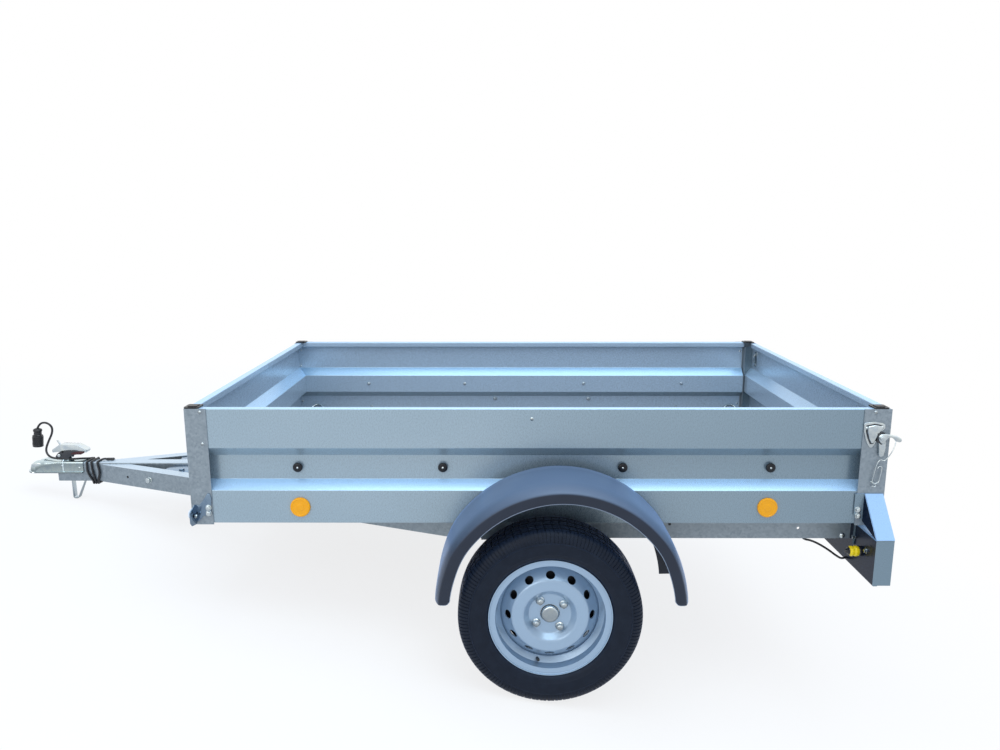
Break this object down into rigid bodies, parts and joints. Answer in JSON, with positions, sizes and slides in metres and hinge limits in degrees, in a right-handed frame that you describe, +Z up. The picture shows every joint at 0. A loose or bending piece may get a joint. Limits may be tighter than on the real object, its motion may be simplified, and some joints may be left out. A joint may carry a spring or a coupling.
{
  "type": "utility trailer",
  "caption": "Single-axle utility trailer with a folded galvanised box, drop tailgate, V drawbar with ball coupling, plastic fenders and steel road wheels, parked nose down.",
  "frame": {"origin": "centre of the footprint on the ground, without the plug lead", "axes": "+X to the tail along the ground, +Y to the right-hand side of the trailer, +Z up; the trailer stands nose down on its two wheels and the rest loop under the drawbar"},
  "size_m": [3.0362, 1.756, 1.0363],
  "materials": {
    "tyre": "matt moulded rubber",
    "rim_paint": "satin silver paint",
    "zinc": "bright zinc plate",
    "black_plastic": "grained moulded polyethylene",
    "plywood": "dark phenolic film on birch plywood",
    "galvanised_sheet": "smooth galvanised sheet, satin",
    "spangled_steel": "hot-dip galvanised with spangle",
    "lamp_plastic": "clear moulded lens",
    "amber_plastic": "prismatic reflector",
    "clear_plastic": "prismatic reflector",
    "yellow_plastic": "moulded connector",
    "cable_rubber": "smooth cable sheath"
  },
  "bodies": {
    "root": {"axle_arm_left": "spangled_steel", "axle_arm_right": "spangled_steel", "axle_tube": "spangled_steel", "cable_turns": "cable_rubber", "chassis_rail_left": "spangled_steel", "chassis_rail_right": "spangled_steel", "corner_caps": "black_plastic", "corner_posts_front": "spangled_steel", "corner_posts_rear": "spangled_steel", "coupling_handle": "zinc", "coupling_head": "zinc", "crossmembers": "spangled_steel", "drawbar_gussets": "zinc", "drawbar_tube": "spangled_steel", "fender_left": "black_plastic", "fender_right": "black_plastic", "floor_panel": "plywood", "front_brackets": "zinc", "front_panel": "galvanised_sheet", "front_reflectors": "clear_plastic", "hinge_sill": "zinc", "lamp_bar": "galvanised_sheet", "lamp_carriers": "galvanised_sheet", "lamp_connectors": "yellow_plastic", "lashing_rings": "zinc", "latches": "zinc", "plug": "black_plastic", "plug_lead": "cable_rubber", "rear_lamps": "lamp_plastic", "rear_sill": "spangled_steel", "rest_loop": "zinc", "side_panel_left": "galvanised_sheet", "side_panel_right": "galvanised_sheet", "side_reflectors": "amber_plastic", "tarp_knobs": "black_plastic"},
    "tailgate": {"hinge_gate": "zinc", "tailgate_panel": "galvanised_sheet"},
    "wheel_left": {"hub_left": "zinc", "rim_left": "rim_paint", "tyre_left": "tyre"},
    "wheel_right": {"hub_right": "zinc", "rim_right": "rim_paint", "tyre_right": "tyre"}
  },
  "joints": [
    {"name": "wheel_left_spin", "type": "hinge", "parent": "root", "child": "wheel_left", "pos_m": [0.49908, -0.793, 0.2735], "axis": [0, 1, 0], "continuous": true},
    {"name": "wheel_right_spin", "type": "hinge", "parent": "root", "child": "wheel_right", "pos_m": [0.49908, 0.793, 0.2735], "axis": [0, 1, 0], "continuous": true},
    {"name": "tailgate_fold", "type": "hinge", "parent": "root", "child": "tailgate", "pos_m": [1.49, 0, 0.67125], "axis": [0, 1, 0], "range_deg": [0, 170]}
  ]
}
